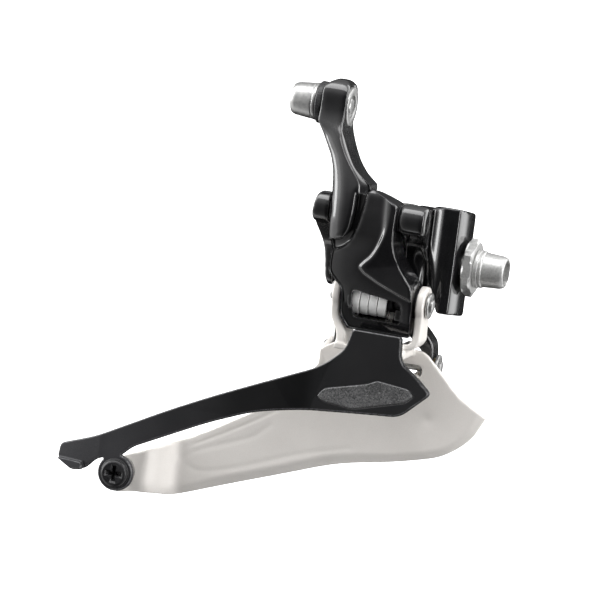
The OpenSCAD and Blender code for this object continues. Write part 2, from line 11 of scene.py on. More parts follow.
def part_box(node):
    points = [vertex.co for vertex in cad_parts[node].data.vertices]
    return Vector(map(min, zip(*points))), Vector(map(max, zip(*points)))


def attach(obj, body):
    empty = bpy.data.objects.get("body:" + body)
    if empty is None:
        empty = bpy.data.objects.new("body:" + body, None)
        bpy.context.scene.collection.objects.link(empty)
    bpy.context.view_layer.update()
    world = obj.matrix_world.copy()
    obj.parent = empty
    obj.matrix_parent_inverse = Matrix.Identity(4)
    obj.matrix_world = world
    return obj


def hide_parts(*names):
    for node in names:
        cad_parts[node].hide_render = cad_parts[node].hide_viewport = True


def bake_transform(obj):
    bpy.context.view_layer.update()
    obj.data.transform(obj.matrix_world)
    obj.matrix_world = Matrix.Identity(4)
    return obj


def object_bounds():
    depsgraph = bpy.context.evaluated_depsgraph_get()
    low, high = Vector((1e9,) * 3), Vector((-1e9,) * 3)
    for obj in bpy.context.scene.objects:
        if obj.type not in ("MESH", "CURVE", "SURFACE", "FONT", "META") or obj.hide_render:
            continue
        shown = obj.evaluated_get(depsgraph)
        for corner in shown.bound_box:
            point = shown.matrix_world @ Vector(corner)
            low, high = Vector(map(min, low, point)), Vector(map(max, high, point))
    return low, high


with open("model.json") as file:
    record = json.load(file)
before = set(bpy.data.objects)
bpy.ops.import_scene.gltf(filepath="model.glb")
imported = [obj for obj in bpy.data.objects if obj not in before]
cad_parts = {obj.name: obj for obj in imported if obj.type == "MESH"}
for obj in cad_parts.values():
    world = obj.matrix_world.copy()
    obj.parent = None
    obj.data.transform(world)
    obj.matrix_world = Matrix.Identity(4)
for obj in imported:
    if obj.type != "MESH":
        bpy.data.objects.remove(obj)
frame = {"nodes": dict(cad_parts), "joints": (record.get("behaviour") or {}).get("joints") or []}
cad_low, cad_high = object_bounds()

# Shapes are worked out in millimetres in the row frame, and become metres when a mesh is made.
MM = 0.001
OUTBOARD = np.array((0.0, -1.0, 0.0))


def low(node):
    return np.array(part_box(node)[0]) / MM


def high(node):
    return np.array(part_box(node)[1]) / MM


def middle(node):
    return (low(node) + high(node)) / 2


JOINT = {joint["name"]: np.array(joint["pos_m"]) / MM for joint in frame["joints"]}
UPPER_OUTER = JOINT["outer_link_pivot"]
LOWER_OUTER = JOINT["cage_pivot"]
CLAMP = middle("cable_clamp_bolt")
ARM_SEATS = np.array((low("cable_arm")[0], high("cable_insert")[0]))
ARM_TOP = np.array((low("cable_arm")[0], CLAMP[1], CLAMP[2]))
TAIL = middle("tail_screw")


# ---------------------------------------------------------------- camera, light, floor

CAMERA_AZIMUTH = math.radians(15)
CAMERA_ELEVATION = math.radians(8.6)
CAMERA_ROLL = math.radians(7.4)
LENS = 400.0
SENSOR = 36.0
VIEW_WIDTH = 0.138
# How far the picture's middle lies left of the bolt's axis and below it, in metres
VIEW_LEFT = 0.0382
VIEW_BELOW = 0.0078


def rotated(first, second, angle):
    return first * math.cos(angle) + second * math.sin(angle)


def make_camera():
    """Looks at the cage's side from a little ahead and above, with the bolt's axis right of the middle."""
    a, e = CAMERA_AZIMUTH, CAMERA_ELEVATION
    level = Vector((math.cos(a), math.sin(a), 0))
    back = Vector((math.sin(a) * math.cos(e), -math.cos(a) * math.cos(e), math.sin(e)))
    upright = back.cross(level)
    right = rotated(level, upright, CAMERA_ROLL)
    up = rotated(upright, -level, CAMERA_ROLL)
    depth = Vector((0, middle("outer_link")[1] * MM, 0)).dot(back)
    centre = back * depth - right * VIEW_LEFT - up * VIEW_BELOW
    data = bpy.data.cameras.new("camera")
    data.lens = LENS
    data.sensor_width = SENSOR
    data.clip_end = 50
    camera = bpy.data.objects.new("camera", data)
    axes = Matrix((right, up, back)).transposed().to_4x4()
    camera.matrix_world = Matrix.Translation(centre + back * VIEW_WIDTH * LENS / SENSOR) @ axes
    bpy.context.scene.collection.objects.link(camera)
    bpy.context.scene.camera = camera


def link(tree, source, node, name):
    tree.links.new(source, node.inputs[name])


def node_of(tree, kind, **values):
    """Adds a shader node and sets the inputs named in values."""
    node = tree.nodes.new("ShaderNode" + kind)
    for name, value in values.items():
        node.inputs[name.replace("_", " ")].default_value = value
    return node


def ramp(tree, source, stops):
    """A smooth ramp of greys or colours along source; stops are (place, value)."""
    node = tree.nodes.new("ShaderNodeValToRGB")
    node.color_ramp.interpolation = "EASE"
    elements = node.color_ramp.elements
    elements.remove(elements[1])
    for index, (place, value) in enumerate(stops):
        element = elements[0] if index == 0 else elements.new(place)
        element.position = place
        element.color = ((value,) * 3 if isinstance(value, (int, float)) else tuple(value)) + (1,)
    link(tree, source, node, "Fac")
    return node.outputs["Color"]


def maths(tree, operation, *values):
    """A math node whose inputs are sockets or numbers."""
    node = tree.nodes.new("ShaderNodeMath")
    node.operation = operation
    for slot, value in zip(node.inputs, values):
        if isinstance(value, bpy.types.NodeSocket):
            tree.links.new(value, slot)
        else:
            slot.default_value = value
    return node.outputs[0]


def mixed(tree, factor, first, second):
    """Mixes two colours, each a tuple or a socket."""
    node = tree.nodes.new("ShaderNodeMix")
    node.data_type = "RGBA"
    for index, value in ((0, factor), (6, first), (7, second)):
        if isinstance(value, bpy.types.NodeSocket):
            tree.links.new(value, node.inputs[index])
        else:
            node.inputs[index].default_value = value if index == 0 else tuple(value) + (1,)
    return node.outputs[2]


WORLD_PEAK = 4.0


def turn_place(degrees):
    """Where an angle round the object lies on the world's ramp; 0 is outboard, 90 is forward."""
    return (degrees / 180 + 1) / 2


def make_world():
    """A soft studio seen in the gloss: light to the rear and ahead, a dark flag beside the camera."""
    world = bpy.data.worlds.new("studio")
    world.use_nodes = True
    tree = world.node_tree
    background = tree.nodes["Background"]
    direction = tree.nodes.new("ShaderNodeTexCoord").outputs["Generated"]
    split = node_of(tree, "SeparateXYZ")
    tree.links.new(direction, split.inputs[0])
    x, y, z = split.outputs
    turn = maths(tree, "ARCTAN2", x, maths(tree, "MULTIPLY", y, -1.0))
    turn = maths(tree, "MULTIPLY_ADD", turn, 0.5 / math.pi, 0.5)
    round_object = [(-180, 0.03), (-150, 0.03), (-125, 0.3), (-98, 2.4), (-60, 2.4), (-44, 1.0), (-26, 0.45),
                    (-6, 0.05), (50, 0.05), (58, 2.8), (74, 2.8), (82, 0.1), (110, 0.1), (120, 2.6),
                    (154, 2.6), (163, 0.04), (180, 0.03)]
    level = ramp(tree, turn, [(turn_place(at), value / WORLD_PEAK) for at, value in round_object])
    rise = maths(tree, "MULTIPLY_ADD", z, 0.5, 0.5)
    height = ramp(tree, rise, [(0, 0.45), (0.3, 0.5), (0.45, 0.65), (0.6, 0.95), (0.82, 1.0), (1, 0.5)])
    over = ramp(tree, rise, [(0.58, 0.0), (0.85, 0.08), (1, 0.22)])
    shade = node_of(tree, "VectorMath")
    shade.operation = "MULTIPLY"
    tree.links.new(level, shade.inputs[0])
    tree.links.new(height, shade.inputs[1])
    total = node_of(tree, "VectorMath")
    total.operation = "ADD"
    tree.links.new(shade.outputs[0], total.inputs[0])
    tree.links.new(over, total.inputs[1])
    seen = tree.nodes.new("ShaderNodeLightPath").outputs["Is Camera Ray"]
    tree.links.new(mixed(tree, seen, total.outputs[0], (1 / WORLD_PEAK,) * 3), background.inputs["Color"])
    background.inputs["Strength"].default_value = WORLD_PEAK
    bpy.context.scene.world = world


def softbox(name, turn, rise, distance, size, radiance):
    """An area light of a given brightness, aimed at the object's middle; turn 0 is outboard, 90 forward."""
    centre = (cad_low + cad_high) / 2
    a, e = math.radians(turn), math.radians(rise)
    towards = Vector((math.sin(a) * math.cos(e), -math.cos(a) * math.cos(e), math.sin(e)))
    data = bpy.data.lights.new(name, "AREA")
    data.shape = "RECTANGLE"
    data.size, data.size_y = size
    data.energy = radiance * 4 * size[0] * size[1]
    light = bpy.data.objects.new(name, data)
    light.location = centre + towards * distance
    light.rotation_euler = towards.to_track_quat("Z", "Y").to_euler()
    light.visible_camera = False
    bpy.context.scene.collection.objects.link(light)


def make_lights():
    softbox("rear_softbox", -80, 18, 0.9, (0.30, 0.9), 4.5)
    softbox("front_strip", 68, 15, 0.9, (0.16, 0.9), 6)
    softbox("top_softbox", -20, 72, 0.8, (0.7, 0.45), 2.6)


FLOOR_DROP = 0.14
FLOOR_SIZE = 14.0


def make_floor():
    """A wide pale floor, well below the object, which hangs by its mount."""
    mesh = bpy.data.meshes.new("floor")
    half = FLOOR_SIZE / 2
    height = cad_low.z - FLOOR_DROP
    corners = [(-half, -half, height), (half, -half, height), (half, half, height), (-half, half, height)]
    mesh.from_pydata(corners, [], [(0, 1, 2, 3)])
    floor = bpy.data.objects.new("floor", mesh)
    material = bpy.data.materials.new("floor_paper")
    material.use_nodes = True
    shader = material.node_tree.nodes["Principled BSDF"]
    paper = node_of(material.node_tree, "TexNoise", Scale=40.0)
    tone = ramp(material.node_tree, paper.outputs[0], [(0, 0.86), (1, 0.9)])
    link(material.node_tree, tone, shader, "Base Color")
    shader.inputs["Roughness"].default_value = 0.9
    shader.inputs["Emission Color"].default_value = (1, 1, 1, 1)
    shader.inputs["Emission Strength"].default_value = 1.0
    mesh.materials.append(material)
    floor.visible_glossy = False
    floor.visible_diffuse = False
    bpy.context.scene.collection.objects.link(floor)


# ---------------------------------------------------------------- materials

# Size in mm of the broad mottling, and its share beside the fine grain's
BROAD_GRAIN = 9.0
BROAD_SHARE = 0.35
SPECK_SIZE = 0.28
# Where a mesh's edge mark starts to show wear and where it is fully worn
WEAR_STARTS = 0.62
WEAR_FULL = 0.95
# The strongest brightening that a finish's painted shading may ask for
STRONGEST_PAINTED_SHADING = 4.0


def finish(name, slot, tone, second, metallic, roughness, swing, grain, relief, worn, coat=0.0,
           coat_roughness=0.04, speckle=0.0, shine=0.5, along=None):
    """A procedural finish. Two tones are mottled over the grain's size in mm, the roughness swings with
    them, the relief is in mm, and edges take the worn tone where the mesh marks them. along lists
    (forward mm, strength) pairs for painted shading: a factor on the tone that fades along the object
    and paints light and shade into its colour."""
    made = bpy.data.materials.new(name)
    made.use_nodes = True
    tree = made.node_tree
    shader = tree.nodes["Principled BSDF"]
    place = tree.nodes.new("ShaderNodeTexCoord").outputs["Object"]
    fine = node_of(tree, "TexNoise", Scale=1 / (grain * MM), Detail=5.0, Roughness=0.65)
    broad = node_of(tree, "TexNoise", Scale=1 / (BROAD_GRAIN * MM), Detail=3.0)
    tree.links.new(place, fine.inputs["Vector"])
    tree.links.new(place, broad.inputs["Vector"])
    fine_part = maths(tree, "MULTIPLY", fine.outputs[0], 1 - BROAD_SHARE)
    mottle = maths(tree, "MULTIPLY_ADD", broad.outputs[0], BROAD_SHARE, fine_part)
    spread = ramp(tree, mottle, [(0.36, 0.0), (0.64, 1.0)])
    colour = mixed(tree, spread, tone, second)
    if speckle:
        dots = node_of(tree, "TexNoise", Scale=1 / (SPECK_SIZE * MM), Detail=1.0)
        tree.links.new(place, dots.inputs["Vector"])
        bright = ramp(tree, dots.outputs[0], [(0.66, 0.0), (0.76, speckle)])
        colour = mixed(tree, bright, colour, (0.8, 0.8, 0.8))
    # Painted shading: the tone is scaled by a ramp along the object's forward axis, standing in for light and
    # shade
    if along:
        forward = node_of(tree, "SeparateXYZ")
        tree.links.new(place, forward.inputs[0])
        start, end = along[0][0] * MM, along[-1][0] * MM
        share = maths(tree, "DIVIDE", maths(tree, "SUBTRACT", forward.outputs[0], start), end - start)
        painted_shade_stops = [((at * MM - start) / (end - start), value / STRONGEST_PAINTED_SHADING) for at, value in along]
        painted_shade_scaled = node_of(tree, "VectorMath")
        painted_shade_scaled.operation = "MULTIPLY"
        tree.links.new(colour, painted_shade_scaled.inputs[0])
        tree.links.new(ramp(tree, share, painted_shade_stops), painted_shade_scaled.inputs[1])
        painted_shade_tone = node_of(tree, "VectorMath")
        painted_shade_tone.operation = "SCALE"
        painted_shade_tone.inputs["Scale"].default_value = STRONGEST_PAINTED_SHADING
        tree.links.new(painted_shade_scaled.outputs[0], painted_shade_tone.inputs[0])
        colour = painted_shade_tone.outputs[0]
    rough = maths(tree, "MULTIPLY_ADD", spread, swing, roughness - swing / 2)
    edge = node_of(tree, "Attribute")
    edge.attribute_name = "edge"
    sharpness = ramp(tree, edge.outputs["Fac"], [(WEAR_STARTS, 0.0), (WEAR_FULL, 1.0)])
    rubbed = maths(tree, "MULTIPLY", sharpness, ramp(tree, fine.outputs[0], [(0.35, 0.15), (0.65, 1.0)]))
    colour = mixed(tree, rubbed, colour, worn)
    tree.links.new(colour, shader.inputs["Base Color"])
    tree.links.new(rough, shader.inputs["Roughness"])
    shader.inputs["Metallic"].default_value = metallic
    shader.inputs["Specular IOR Level"].default_value = shine
    shader.inputs["Coat Weight"].default_value = coat
    shader.inputs["Coat Roughness"].default_value = coat_roughness
    bump = node_of(tree, "Bump", Strength=1.0, Distance=relief * MM)
    tree.links.new(fine.outputs[0], bump.inputs["Height"])
    tree.links.new(bump.outputs[0], shader.inputs["Normal"])
    return made, slot


GLOSS_BLACK = finish("forged_gloss_black", "gloss_black", (0.007, 0.007, 0.008), (0.010, 0.010, 0.011), 0.0,
                     0.20, 0.06, 3.0, 0.0010, worn=(0.022, 0.022, 0.024), coat=1.0, coat_roughness=0.07)
# The outer plate's tone carries painted light and shade: it is paler towards its tail and darkest just behind
# its crease.
PLATE_PAINTED_SHADING = [(-14, 3.6), (-2, 3.0), (14, 1.7), (30, 0.55), (42, 0.35), (46, 1.0), (74, 1.15)]
SATIN_BLACK = finish("anodised_satin_black_painted_shading", "satin_black", (0.010, 0.010, 0.011), (0.015, 0.015, 0.016), 0.0,
                     0.31, 0.06, 0.22, 0.002, worn=(0.30, 0.30, 0.31),
                     along=[(TAIL[0] + forward, strength) for forward, strength in PLATE_PAINTED_SHADING])
INLAY_GREY = finish("grained_inlay", "inlay_grey", (0.022, 0.022, 0.023), (0.150, 0.150, 0.152), 0.0,
                    0.62, 0.12, 0.30, 0.03, worn=(0.34, 0.34, 0.35), speckle=0.25, shine=0.3)
SATIN_SILVER = finish("blasted_satin_silver", "satin_silver", (0.86, 0.825, 0.785), (0.93, 0.895, 0.855),
                      0.15, 0.46, 0.08, 0.16, 0.004, worn=(0.90, 0.88, 0.86))
BRIGHT_STEEL = finish("turned_steel", "steel", (0.40, 0.40, 0.40), (0.52, 0.52, 0.51), 0.8,
                      0.31, 0.10, 0.9, 0.0006, worn=(0.85, 0.85, 0.85))
SATIN_STEEL = finish("satin_steel", "steel", (0.48, 0.48, 0.475), (0.66, 0.66, 0.65), 0.6,
                     0.34, 0.12, 0.5, 0.002, worn=(0.9, 0.9, 0.9))
SPRING_STEEL = finish("spring_steel", "steel", (0.84, 0.84, 0.83), (0.97, 0.97, 0.96), 0.08,
                      0.42, 0.12, 0.22, 0.006, worn=(0.9, 0.9, 0.9))
DARK_STEEL = finish("knurled_dark_steel", "dark_steel", (0.012, 0.012, 0.013), (0.05, 0.05, 0.052), 0.3,
                    0.36, 0.15, 0.35, 0.008, worn=(0.34, 0.34, 0.34))
BLACK_SCREW = finish("black_oxide", "black_screw", (0.012, 0.012, 0.013), (0.024, 0.024, 0.026), 0.2,
                     0.32, 0.10, 0.35, 0.004, worn=(0.42, 0.42, 0.43))
BRONZE = finish("sintered_bronze", "bronze", (0.30, 0.22, 0.11), (0.42, 0.33, 0.18), 0.9,
                0.42, 0.12, 0.25, 0.006, worn=(0.6, 0.5, 0.3))
POLYMER = finish("moulded_polymer", "polymer", (0.020, 0.020, 0.022), (0.035, 0.035, 0.038), 0.0,
                 0.48, 0.10, 0.4, 0.005, worn=(0.08, 0.08, 0.09))


# ---------------------------------------------------------------- shape helpers

def smooth_step(value, start, end):
    t = np.clip((value - start) / (end - start), 0, 1)
    return t * t * (3 - 2 * t)


def curve_through(points, steps=6):
    """A smooth open curve through the points, as an array of plane points."""
    points = [np.array(p, float) for p in points]
    ends = [2 * points[0] - points[1]] + points + [2 * points[-1] - points[-2]]
    result = []
    for a, b, c, d in zip(ends, ends[1:], ends[2:], ends[3:]):
        for t in np.arange(steps) / steps:
            result.append(b + 0.5 * t * (c - a + t * (2 * a - 5 * b + 4 * c - d + t * (3 * (b - c) + d - a))))
    return np.array(result + [points[-1]])


def line_distance(x, z, line):
    """Distance of each plane point from an open line."""
    nearest = np.full(len(x), 1e9)
    for (x0, z0), (x1, z1) in zip(line, line[1:]):
        dx, dz = x1 - x0, z1 - z0
        t = np.clip(((x - x0) * dx + (z - z0) * dz) / (dx * dx + dz * dz), 0, 1)
        nearest = np.minimum(nearest, np.hypot(x - x0 - t * dx, z - z0 - t * dz))
    return nearest


def region_depth(x, z, outline):
    """Distance inside a closed outline; negative outside."""
    closed = np.vstack([outline, outline[:1]])
    inside = np.zeros(len(x), bool)
    for (x0, z0), (x1, z1) in zip(closed, closed[1:]):
        if z0 != z1:
            inside ^= ((z0 > z) != (z1 > z)) & (x < (x1 - x0) * (z - z0) / (z1 - z0) + x0)
    return np.where(inside, 1, -1) * line_distance(x, z, closed)


def filleted(corners, steps=5):
    """A profile of (along, radius, cut) corners, each rounded by a curve that starts and ends at the cut."""
    points = [np.array(corners[0][:2], float)]
    for before, corner, after in zip(corners, corners[1:], corners[2:]):
        a, b, c = (np.array(p[:2], float) for p in (before, corner, after))
        reach = min(corner[2], 0.48 * np.linalg.norm(a - b), 0.48 * np.linalg.norm(c - b))
        if reach <= 0:
            points.append(b)
            continue
        start = b + (a - b) / np.linalg.norm(a - b) * reach
        end = b + (c - b) / np.linalg.norm(c - b) * reach
        for t in np.linspace(0, 1, steps + 1):
            points.append((1 - t) ** 2 * start + 2 * t * (1 - t) * b + t * t * end)
    points.append(np.array(corners[-1][:2], float))
    return points


def settle(piece, look, body, nodes):
    """Gives a finished piece its material, and puts it on its body in place of its CAD nodes."""
    material, slot = look
    piece.data.materials.clear()
    piece.data.materials.append(material)
    if body:
        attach(piece, body)
    if nodes:
        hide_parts(*nodes)
    return piece


def new_piece(name, points, faces, look, body, nodes, sharp=38):
    """A piece from points in mm, shaded smooth but for edges sharper than an angle in degrees."""
    mesh = bpy.data.meshes.new(name)
    mesh.from_pydata([tuple(p) for p in np.asarray(points) * MM], [], [tuple(f) for f in faces])
    mesh.validate()
    mesh.shade_smooth()
    mesh.set_sharp_from_angle(angle=math.radians(sharp))
    piece = bpy.data.objects.new(name, mesh)
    bpy.context.scene.collection.objects.link(piece)
    return settle(piece, look, body, nodes)


def turned_shape(centre, axis, profile, sides=144, flutes=None):
    """Points and faces of a lathe-turned shape. The profile is (along, radius, form) rings between two
    points on the axis. A ring's form is 0 for round, "hexagon" for a radius across flats, or the half
    width of a cross whose radius is its reach. flutes is (count, depth), cut in the widest rings."""
    axis = np.array(axis, float)
    first = np.array((0.0, 0, 1)) if abs(axis[2]) < 0.5 else np.array((0.0, 1, 0))
    second = np.cross(axis, first)
    angles = np.arange(sides) * 2 * math.pi / sides
    widest = max(ring[1] for ring in profile)
    points, faces = [centre + axis * profile[0][0]], []
    for along, radius, form in profile[1:-1]:
        reach = np.full(sides, float(radius))
        if form == "hexagon":
            reach = radius / np.cos((angles % (math.pi / 3)) - math.pi / 6)
        elif form:
            across, up = np.abs(np.cos(angles)) + 1e-6, np.abs(np.sin(angles)) + 1e-6
            reach = np.maximum(np.minimum(radius / across, form / up), np.minimum(radius / up, form / across))
        elif flutes and radius > widest - 0.6:
            reach = reach - flutes[1] * (0.5 + 0.5 * np.cos(angles * flutes[0]))
        ring = np.cos(angles)[:, None] * first + np.sin(angles)[:, None] * second
        points.extend(centre + axis * along + ring * reach[:, None])
    points.append(centre + axis * profile[-1][0])
    rings = len(profile) - 2
    for k in range(sides):
        nxt = (k + 1) % sides
        faces.append((0, 1 + nxt, 1 + k))
        for r in range(rings - 1):
            a, b = 1 + r * sides, 1 + (r + 1) * sides
            faces.append((a + k, a + nxt, b + nxt, b + k))
        last = 1 + (rings - 1) * sides
        faces.append((last + k, last + nxt, len(points) - 1))
    return points, faces


def rounded_rings(corners, form=0):
    """The rings of a filleted profile, all of one form."""
    return [(along, radius, form) for along, radius in filleted(corners)]


class Clay:
    """An even fine mesh of some CAD nodes, whose points are pushed about as arrays in mm."""

    def __init__(self, name, nodes, voxel, passes):
        self.name, self.nodes = name, nodes
        builder = bmesh.new()
        for node in nodes:
            builder.from_mesh(frame["nodes"][node].data)
        bmesh.ops.transform(builder, matrix=Matrix.Scale(1 / MM, 4), verts=builder.verts)
        bmesh.ops.remove_doubles(builder, verts=builder.verts, dist=0.001)
        source = bpy.data.meshes.new(name + ".source")
        builder.to_mesh(source)
        builder.free()
        self.piece = bpy.data.objects.new(name, source)
        bpy.context.scene.collection.objects.link(self.piece)
        remesh = self.piece.modifiers.new("even", "REMESH")
        remesh.mode = "VOXEL"
        remesh.voxel_size = voxel
        shaped = self.piece.evaluated_get(bpy.context.evaluated_depsgraph_get())
        self.mesh = bpy.data.meshes.new_from_object(shaped)
        self.piece.modifiers.clear()
        self.piece.data = self.mesh
        self.points = np.zeros(len(self.mesh.vertices) * 3)
        self.mesh.vertices.foreach_get("co", self.points)
        self.points = self.points.reshape(-1, 3)
        self.edges = np.zeros(len(self.mesh.edges) * 2, int)
        self.mesh.edges.foreach_get("vertices", self.edges)
        self.edges = self.edges.reshape(-1, 2)
        self.links = np.bincount(self.edges.ravel(), minlength=len(self.points))
        self.relax(passes)

    def neighbours(self, values):
        """The mean of each point's neighbours."""
        a, b = self.edges.T
        count = len(self.points)
        total = np.stack([np.bincount(a, values[b, k], count) + np.bincount(b, values[a, k], count)
                          for k in range(values.shape[1])], axis=1)
        return total / self.links[:, None]

    def relax(self, passes, weight=0.5):
        """Rounds the shape; weight is a number or one number for each point."""
        weight = np.broadcast_to(weight, len(self.points))[:, None]
        for _ in range(passes):
            self.points += weight * (self.neighbours(self.points) - self.points)

    def normals(self):
        self.mesh.vertices.foreach_set("co", self.points.ravel())
        self.mesh.update()
        found = np.zeros(len(self.points) * 3)
        self.mesh.vertex_normals.foreach_get("vector", found)
        return found.reshape(-1, 3)

    def facing(self, direction, start=0.15, end=0.6):
        """How far each point's surface faces a direction, from 0 to 1."""
        return smooth_step(self.normals() @ np.array(direction), start, end)

    def rim_distance(self, direction, deepest):
        """How far each point that faces a direction is from the nearest side wall, seen along it, and how
        much that wall faces the light ahead."""
        normals = self.normals() @ np.array(direction)
        flat = self.points - (self.points @ np.array(direction))[:, None] * np.array(direction)
        walls = np.flatnonzero((np.abs(normals) < 0.45) & (self.points @ np.array(direction) > deepest))
        tree = KDTree(len(walls))
        for index in walls:
            tree.insert(flat[index], int(index))
        tree.balance()
        distance = np.zeros(len(self.points))
        nearest = np.arange(len(self.points))
        for index in np.flatnonzero(normals > 0.45):
            _, nearest[index], distance[index] = tree.find(flat[index])
        lit = smooth_step(self.normals()[nearest] @ np.array((0.8, 0, -0.4)), -0.05, 0.35)
        return distance, lit * (normals > 0.2)

    def chamfer(self, width, depth, deepest=-1e9, direction=OUTBOARD):
        """Slopes a face down towards its lower and forward rim; walls below the deepest level don't count."""
        distance, lit = self.rim_distance(direction, deepest)
        self.push(-depth * np.clip(1 - distance / width, 0, 1) * lit, direction)

    def push(self, amount, direction=OUTBOARD):
        self.points += amount[:, None] * np.array(direction)

    def done(self, look, body):
        normals = self.normals()
        bend = self.points - self.neighbours(self.points)
        convex = (bend * normals).sum(1)
        spacing = np.mean(np.linalg.norm(np.diff(self.points[self.edges], axis=1)[:, 0], axis=1))
        edge = np.clip(0.5 + convex / spacing * 3, 0, 1)
        for _ in range(2):
            edge = 0.5 * edge + 0.5 * self.neighbours(edge[:, None])[:, 0]
        marks = self.mesh.attributes.new("edge", "FLOAT", "POINT")
        marks.data.foreach_set("value", edge.astype(np.float32))
        self.mesh.vertices.foreach_set("co", (self.points * MM).ravel())
        self.mesh.update()
        self.mesh.shade_smooth()
        return settle(self.piece, look, body, self.nodes)


def softened(node, look, width=0.12, segments=3):
    """A CAD node that keeps its shape, with its edges softened and a finished material."""
    piece = frame["nodes"][node]
    material, slot = look
    piece.data.materials.clear()
    piece.data.materials.append(material)
    weld = piece.modifiers.new("weld", "WELD")
    weld.merge_threshold = 0.000002
    bevel = piece.modifiers.new("bevel", "BEVEL")
    bevel.width = width * MM
    bevel.segments = segments
    bevel.limit_method = "ANGLE"
    bevel.angle_limit = math.radians(32)
    bevel.harden_normals = True
    piece.data.shade_smooth()


# ---------------------------------------------------------------- forged black parts

# Lines on the outer link are offsets from the upper outer pivot, as (forward, up).
LINK_RIDGE = [(4.3, 7.5), (4.3, 6.1), (4.3, 3.5), (4.5, 0.2), (4.8, -3.2), (4.2, -6.4), (3.1, -8.9),
              (1.6, -10.6), (0.6, -11.8)]
LINK_RIDGE_FOOT = [(0.6, -12.5), (1.8, -13.6), (4.9, -15.2), (8.0, -16.5), (11.5, -17.8), (14, -18.6),
                   (22, -18.6), (22, 7.5)]
# Height of the step at the ridge, the slope ahead of it and the curve behind it
LINK_STEP = 0.7
LINK_FALL = 0.13
LINK_LEAN = 0.02
# Lines on the cable arm are offsets from its rear face at the cable clamp's height.
ARM_RIDGE = [(5.5, 8), (5.2, 2.4), (5.6, -2.0), (6.0, -4.4), (8.3, -9.3), (11.9, -13.8), (13.6, -17.2),
             (13.7, -22.0), (12.8, -25.3), (11.5, -29)]
ARM_REAR_EDGE = [(0.2, 2), (0.3, -3.0), (2.2, -6.7), (5.5, -11.7), (7.6, -19.3), (7.9, -30)]
# Width of the arm's rolled rear edge, and the most that its forward side drops
ARM_ROLL = 3.2
ARM_DROP = 3.6
# Where the column's front starts to ramp up towards its crest
COLUMN_FOOT = -3.8


def make_outer_link():
    """The face steps up at the ridge, falls away ahead of it and leans back behind it."""
    clay = Clay("outer_link_forging", ["outer_link"], 0.2, 8)
    x, y, z = (clay.points - UPPER_OUTER).T
    outside = clay.facing(OUTBOARD) * (y < -0.6)
    raised = region_depth(x, z, np.vstack([curve_through(LINK_RIDGE), LINK_RIDGE_FOOT]))
    step_width = 0.45 + 1.9 * smooth_step(z, -9, 2)
    step = LINK_STEP * smooth_step(raised / step_width, 0, 1)
    fall = LINK_FALL * np.clip(raised - 1.2, 0, 12) * smooth_step(z, -15.5, -10)
    lean = LINK_LEAN * np.clip(-raised - 0.6, 0, 8) ** 2 * smooth_step(z, -4, -8)
    clay.push((step - fall - lean - LINK_STEP / 2) * outside)
    clay.relax(3)
    return clay.done(GLOSS_BLACK, "outer_link")


def make_cable_arm():
    """The head's two seats stay flat. Below them the front is rolled to the rear and drops away forward."""
    clay = Clay("cable_arm_forging", ["cable_arm"], 0.2, 4)
    x, _, z = (clay.points - ARM_TOP).T
    half = (ARM_SEATS[1] - ARM_SEATS[0]) / 2
    seat = smooth_step(np.abs(x - half), half - 0.9, half) * smooth_step(z, -7, -5)
    softness = 0.5 * (1 - 0.95 * seat)
    clay.relax(24, softness)
    x, _, z = (clay.points - ARM_TOP).T
    front = clay.facing(OUTBOARD, -0.3, 0.4) * smooth_step(z, -3.5, -7)
    ahead = region_depth(x, z, np.vstack([curve_through(ARM_RIDGE), [(26, -29), (26, 8)]]))
    clay.push(-np.minimum(1.4 * np.maximum(ahead, 0), ARM_DROP) * front)
    root = smooth_step(x, 12.8, 13.6) * smooth_step(z, -16.2, -17.0) * (z > -18)
    clay.push(-0.8 * root, (0, 0, 1))
    inside = region_depth(x, z, np.vstack([curve_through(ARM_REAR_EDGE), [(26, -30), (26, 2)]]))
    clay.push(-0.125 * np.clip(ARM_ROLL - inside, 0, 4) ** 2 * front)
    clay.relax(5, softness)
    return clay.done(GLOSS_BLACK, "outer_link")


def make_main_body():
    """The column's face ramps up from its foot to a crest and falls behind it. The front boss is rounded."""
    clay = Clay("main_body_forging", ["main_body"], 0.235, 8)
    x, y, z = clay.points.T
    column = clay.facing(OUTBOARD) * smooth_step(x, -8.2, -7.2) * (y > -10.5) * (y < -4)
    crest = COLUMN_FOOT - 1.3 - 1.5 * smooth_step(z, -4, 8)
    reach = np.clip(COLUMN_FOOT - x, 0, COLUMN_FOOT - crest)
    ramp_up = 0.45 * reach + 0.15 * reach ** 2
    clay.push((ramp_up - 0.9 * np.clip(crest - x, 0, 4)) * column)
    boss = smooth_step(y, -12, -14) * (x > -13)
    clay.relax(34, 0.5 * boss)
    clay.relax(5)
    return clay.done(GLOSS_BLACK, "body")


def make_inner_link():
    clay = Clay("inner_link_forging", ["inner_link"], 0.22, 8)
    return clay.done(GLOSS_BLACK, "inner_link")


# ---------------------------------------------------------------- cage

# Lines on the cage are offsets from the tail screw, as (forward, up).
BLADE_LOWER_EDGE = [(3, -4.8), (7, -4.7), (11, -5.2), (23, -0.6), (36.2, 4.2), (49.5, 9.2), (63.5, 11.8),
                    (74.5, 14.8), (80.5, 19.8), (83.2, 25.6)]
BLADE_UPPER_EDGE = [(7.2, 6.6), (16.5, 10.7), (34.5, 22.0), (42, 32.6)]
LEAF_GROOVES = (
    [(12.0, 4.3), (16.9, 7.0), (27.9, 11.6), (31.0, 14.0), (32.5, 15.4)],
    [(12.0, 4.3), (14.2, 2.5), (17.9, 2.0), (26.2, 4.3), (40.7, 10.0), (52, 13.2)],
)
NOSE_DIMPLE = (69.8, 23.0)
# The middle of the step between the inner plate's blade and its tongue, and how far its sweep goes each way
JOGGLE = 8.6
JOGGLE_SWEEP = 4.2
# The outer plate's crease, behind the inlay
PLATE_CREASE = [(50.5, 38.0), (47.6, 33.4), (44.9, 24.6), (43.5, 18.0)]


